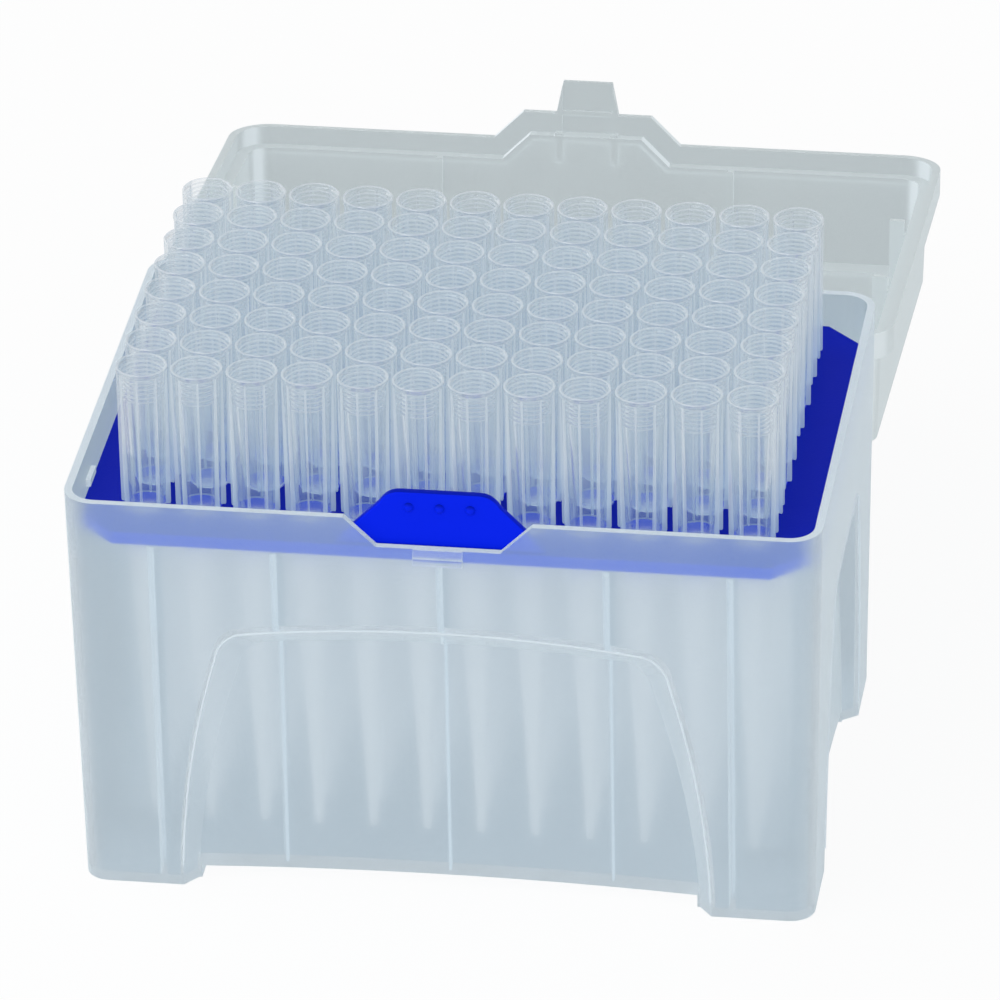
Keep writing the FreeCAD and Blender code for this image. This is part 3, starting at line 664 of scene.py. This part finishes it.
def clear_plastic(name, low, high, milk, blue):
    """Clear plastic whose haze runs from low, at the deck, towards high, and never above high.

    blue is how much painted light, bounced blue from the deck, it shows close by.
    """
    plastic = Material(name)
    place = plastic.node("TexCoord", output="Object")
    height = part_of(plastic, place, "Z")
    above = height * (1 / HAZE_RISE) - DECK_TOP / HAZE_RISE
    away = plastic.node("Math", {"operation": "ABSOLUTE"}, {0: above})
    facing = plastic.node("LayerWeight", {}, {"Blend": 0.5}, output="Facing")
    window = plastic.node("BsdfTransparent", {}, {"Color": TIP_TINT})
    # Close over the deck the haze is painted bluish, as light bounced from the deck.
    painted_bounce = 1 - away * (HAZE_RISE / PAINTED_BOUNCE_RISE)
    painted_bounce = plastic.node("Math", {"operation": "MAXIMUM"}, {0: painted_bounce * blue, 1: 0.0})
    cloud = mixed(plastic, painted_bounce, cloudy(plastic, milk), cloudy(plastic, TIP_PAINTED_BOUNCE))
    under = plastic.node("Math", {"operation": "LESS_THAN"}, {0: height, 1: CONE_START})
    cloud = mixed(plastic, under, cloud, cloudy(plastic, CONE_MILK))
    below = plastic.node("MapRange", {}, {0: height, 1: CONE_START, 2: CONE_FULL, 3: 0.0, 4: CONE_HAZE})
    haze = plastic.node("Math", {"operation": "MINIMUM"}, {0: away * (high - low) + low, 1: high}) + below
    wall = mixed(plastic, facing * facing * EDGE_HAZE + haze, window, cloud)
    gloss = plastic.node("Fresnel", {}, {"IOR": 1.45})
    shine = plastic.node("BsdfAnisotropic", {}, {"Color": (1, 1, 1, 1), "Roughness": 0.15})
    both = mixed(plastic, gloss * GLOSS_SHARE, wall, shine)
    return plastic.show(lit_once(plastic, both, TIP_GLOW))


tip_plastic = clear_plastic("clear_tips", 0.07, 0.09, TIP_MILK, 1.0)
fin_plastic = clear_plastic("satin_fins", 0.5, 0.40, SATIN_MILK, 0.5)
print("nodes of the tips' plastic:", len(tip_plastic.node_tree.nodes))

# %% [markdown]
# ## One tip
#
# A tip is a thin tube with a lip, eight fins that stand on the deck, sealing rings inside the mouth,
# and a long cone below. It is one closed skin: a list of levels down the outside and another up the
# inside, each a ring of points. The fins are pulled out of the same rings, so nothing is pushed
# through anything else. Each level also says which part of the band below it is satin.

# %% Sizes of a tip
RIM_TOP = first[1].z
TIP_END = first[0].z
FINS = 8
LIP_RADIUS = 4.2 * MM
SLEEVE_RADIUS = 3.98 * MM
NECK_RADIUS = 3.22 * MM
MOUTH_RADIUS = 3.78 * MM
WALL = 0.42 * MM
FIN_FOOT_RADIUS = 4.08 * MM
FIN_HALF_TURN = math.radians(1.7)
FIN_ROOT_HALF_TURN = math.radians(2.8)
END_RADIUS = 0.7 * MM
END_BORE = 0.4 * MM
RING_COUNT = 6
RING_START = 1.2 * MM
RING_STEP = 0.8 * MM
RING_HEIGHT = 0.09 * MM
print("rims at", round(RIM_TOP / MM, 1), "and ends at", round(TIP_END / MM, 1), "mm")


# %% The rings of points, and the skin over them
def around():
    """Each point's angle, and whether it is on a fin's crest."""
    sector = math.tau / FINS
    points = []
    crest = ((-FIN_ROOT_HALF_TURN, False), (-FIN_HALF_TURN, True), (FIN_HALF_TURN, True))
    gap = ((FIN_ROOT_HALF_TURN, False), (sector * 0.36, False), (sector * 0.64, False))
    for fin in range(FINS):
        middle = fin * sector
        points += [(middle + turn, on_crest) for turn, on_crest in crest + gap]
    return points


def levels():
    """Height, wall radius and fin radius of each ring: down the outside, then up the inside.

    A last word says which points of the band below the ring are satin: none, the fins' or all.
    """
    foot = DECK_TOP
    half_up = (SLEEVE_RADIUS + NECK_RADIUS) / 2 + 0.02 * MM, (LIP_RADIUS + FIN_FOOT_RADIUS) / 2
    outside = [
        (RIM_TOP, LIP_RADIUS - 0.12 * MM, None, "all"),
        (RIM_TOP - 0.12 * MM, LIP_RADIUS, None, None),
        (RIM_TOP - 0.75 * MM, LIP_RADIUS, None, "all"),
        (RIM_TOP - 0.95 * MM, SLEEVE_RADIUS, LIP_RADIUS, "fins"),
        (foot + 12 * MM, *half_up, "fins"),
        (foot + 0.3 * MM, NECK_RADIUS + 0.03 * MM, FIN_FOOT_RADIUS, "all"),
        (foot + 0.02 * MM, NECK_RADIUS + 0.02 * MM, FIN_FOOT_RADIUS - 0.1 * MM, "fins"),
        (foot + 0.02 * MM - 0.05 * MM, NECK_RADIUS, None, None),
        (foot - 0.25 * MM, NECK_RADIUS - 0.03 * MM, None, None),
        (foot - 3 * MM, NECK_RADIUS - 0.15 * MM, None, None),
        (TIP_END, END_RADIUS, None, None),
    ]
    inside = [(TIP_END, END_BORE, None, None), (foot - 3 * MM, NECK_RADIUS - 0.15 * MM - WALL, None, None)]
    inside.append((foot, NECK_RADIUS - WALL, None, None))
    lowest = RIM_TOP - RING_START - (RING_COUNT - 1) * RING_STEP
    bore = MOUTH_RADIUS - 0.25 * MM
    for ring in range(RING_COUNT):
        height = lowest + ring * RING_STEP
        inside.append((height - 0.2 * MM, bore, None, "all"))
        inside.append((height, bore - RING_HEIGHT, None, "all"))
        inside.append((height + 0.2 * MM, bore, None, None))
    inside.append((RIM_TOP - 0.15 * MM, MOUTH_RADIUS, None, "all"))
    inside.append((RIM_TOP, MOUTH_RADIUS + 0.1 * MM, None, "all"))
    return outside + inside


def tip_mesh():
    """One closed tip on the vertical axis."""
    mesh = bpy.data.meshes.new("tip")
    body = bmesh.new()
    rings = []
    satin = []
    for height, wall, crest, band in levels():
        ring = []
        satin.append(band)
        for turn, on_crest in around():
            radius = crest if on_crest and crest else wall
            ring.append(body.verts.new((radius * math.cos(turn), radius * math.sin(turn), height)))
        rings.append(ring)
    for band, upper, lower in zip(satin, rings, rings[1:] + rings[:1]):
        for here in range(len(upper)):
            after = (here + 1) % len(upper)
            face = body.faces.new((upper[here], upper[after], lower[after], lower[here]))
            face.material_index = int(band == "all" or band == "fins" and here % 6 < 3)
    bmesh.ops.recalc_face_normals(body, faces=body.faces)
    body.to_mesh(mesh)
    body.free()
    return mesh


# %% Twelve columns of eight, each tip dropped in at its own turn
def tip_column(name, model, chance):
    """The column's tips in one mesh, in place of its CAD node."""
    low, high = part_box(name)
    middle = (low + high) / 2
    mesh = bpy.data.meshes.new("clear_" + name)
    body = bmesh.new()
    for row in range(ROWS):
        already = len(body.verts)
        body.from_mesh(model)
        body.verts.ensure_lookup_table()
        spot = Vector((middle.x, middle.y + (row - (ROWS - 1) / 2) * PITCH, 0))
        placed = Matrix.Translation(spot) @ Matrix.Rotation(chance.uniform(0, math.tau), 4, "Z")
        bmesh.ops.transform(body, matrix=placed, verts=body.verts[already:])
    body.to_mesh(mesh)
    body.free()
    mesh.shade_smooth()
    mesh.set_sharp_from_angle(angle=math.radians(SHARP))
    column = bpy.data.objects.new("clear_" + name, mesh)
    bpy.context.scene.collection.objects.link(column)
    paint(column, tip_plastic, fin_plastic)
    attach(column, "box")
    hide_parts(name)
    return column


chance = random.Random(96)
model = tip_mesh()
tips = [tip_column(name, model, chance) for name in columns]
print("triangles in a column:", sum(len(face.vertices) - 2 for face in tips[0].data.polygons))

# %% [markdown]
# ## Floor, light and camera
#
# A pale floor runs behind the box to the edge of the view. Seen directly it is almost white, because most
# of what the camera gets from it is a plain white glow, and the rest still carries the soft shadow.
# Through the plastic it is met as grey, and the sky is dimmed too, as by a table and a room behind a
# box that stands in its own light. The sky gives the light, so there are no lamps. The camera stands
# well back with a long lens, which keeps the upright edges nearly parallel.

# %% Floor
FLOOR_HALF = 4.0
FLOOR_COLOUR = (0.86, 0.865, 0.87, 1)
FLOOR_BEHIND = (0.30, 0.31, 0.32, 1)
FLOOR_GLOW_SHARE = 0.85


def floor_material():
    """Pale paper, grey through the plastic, and mostly a white glow to the camera."""
    paper = Material("paper")
    seen = paper.node("LightPath", output="Is Camera Ray")
    pale = paper.node("BsdfDiffuse", {}, {"Color": FLOOR_COLOUR})
    glow = paper.node("Emission", {}, {"Color": (1, 1, 1, 1), "Strength": 1.0})
    paper.block.cycles.emission_sampling = "NONE"
    shaded = paper.node("BsdfDiffuse", {}, {"Color": FLOOR_BEHIND})
    through = paper.node("LightPath", output="Is Transmission Ray")
    either = mixed(paper, through, pale, shaded)
    return paper.show(mixed(paper, seen * FLOOR_GLOW_SHARE, either, glow))


floor_mesh = bpy.data.meshes.new("floor")
corners = [(-1, -1), (1, -1), (1, 1), (-1, 1)]
ground = cad_box[0].z - 0.1 * MM
floor_mesh.from_pydata([(x * FLOOR_HALF, y * FLOOR_HALF, ground) for x, y in corners], [], [(0, 1, 2, 3)])
floor = bpy.data.objects.new("floor", floor_mesh)
bpy.context.scene.collection.objects.link(floor)
paint(floor, floor_material())
print("floor at", round(ground / MM, 1), "mm")

# %% World
SKY_LEVEL = 1.0
DIMMER_BEHIND = 0.6
SKY_SLOPE = Vector((-0.40, -0.40, 0.05))
SOFTBOX = Vector((-0.35, -0.5, 0.79)).normalized()
SOFTBOX_EDGE = (0.93, 0.97)
SOFTBOX_STRENGTH = 7.0


def sky():
    """A soft white studio, brighter on the left and to the front, and plain white where it is looked at.

    Glossy faces also mirror a softbox, and through the plastic the sky is dimmer.
    """
    world = bpy.data.worlds.new("studio")
    world.cycles.sampling_method = "NONE"
    bpy.context.scene.world = world
    air = Material("studio", world)
    seen = air.node("LightPath", output="Is Camera Ray")
    mirrored = air.node("LightPath", output="Is Glossy Ray")
    glass = air.node("LightPath", output="Is Transmission Ray")
    plain = air.node("Math", {"operation": "MAXIMUM"}, {0: seen, 1: glass})
    direction = air.node("TexCoord", output="Generated")
    dot = {"operation": "DOT_PRODUCT"}
    slope = air.node("VectorMath", dot, {0: direction, 1: SKY_SLOPE}, output="Value")
    lamp = air.node("VectorMath", dot, {0: direction, 1: SOFTBOX}, output="Value")
    smooth = {"interpolation_type": "SMOOTHSTEP"}
    edge = {1: SOFTBOX_EDGE[0], 2: SOFTBOX_EDGE[1], 4: SOFTBOX_STRENGTH}
    lamp = air.node("MapRange", smooth, {0: lamp, **edge})
    strength = slope * (1 - plain) + SKY_LEVEL - glass * DIMMER_BEHIND + lamp * mirrored
    air.show(air.node("Background", {}, {"Color": (1, 1, 1, 1), "Strength": strength}), "OutputWorld")


sky()
print("sky level", SKY_LEVEL, "and softbox", SOFTBOX_STRENGTH)

# %% Camera
AZIMUTH, ELEVATION, ROLL = (math.radians(angle) for angle in (8.7, 28.7, -1.06))
DISTANCE = 1.5475
AIM = Vector((3.6, 0, 51.9)) * MM
lens = bpy.data.cameras.new("camera")
lens.sensor_width = 36
lens.lens = 338.08
lens.clip_start, lens.clip_end = 0.05, 20
camera = bpy.data.objects.new("camera", lens)
facing = Matrix.Rotation(AZIMUTH, 4, "Z") @ Matrix.Rotation(math.pi / 2 - ELEVATION, 4, "X")
back = facing @ Vector((0, 0, 1))
camera.matrix_world = Matrix.Translation(AIM + back * DISTANCE) @ facing @ Matrix.Rotation(ROLL, 4, "Z")
bpy.context.scene.collection.objects.link(camera)
bpy.context.scene.camera = camera
bpy.context.scene.view_settings.view_transform = "Standard"
bpy.context.scene.cycles.transparent_max_bounces = 32
bpy.context.scene.cycles.max_bounces = 8
bpy.context.scene.cycles.transmission_bounces = 8
print("camera", DISTANCE, "m away with a lens of", round(lens.lens), "mm")
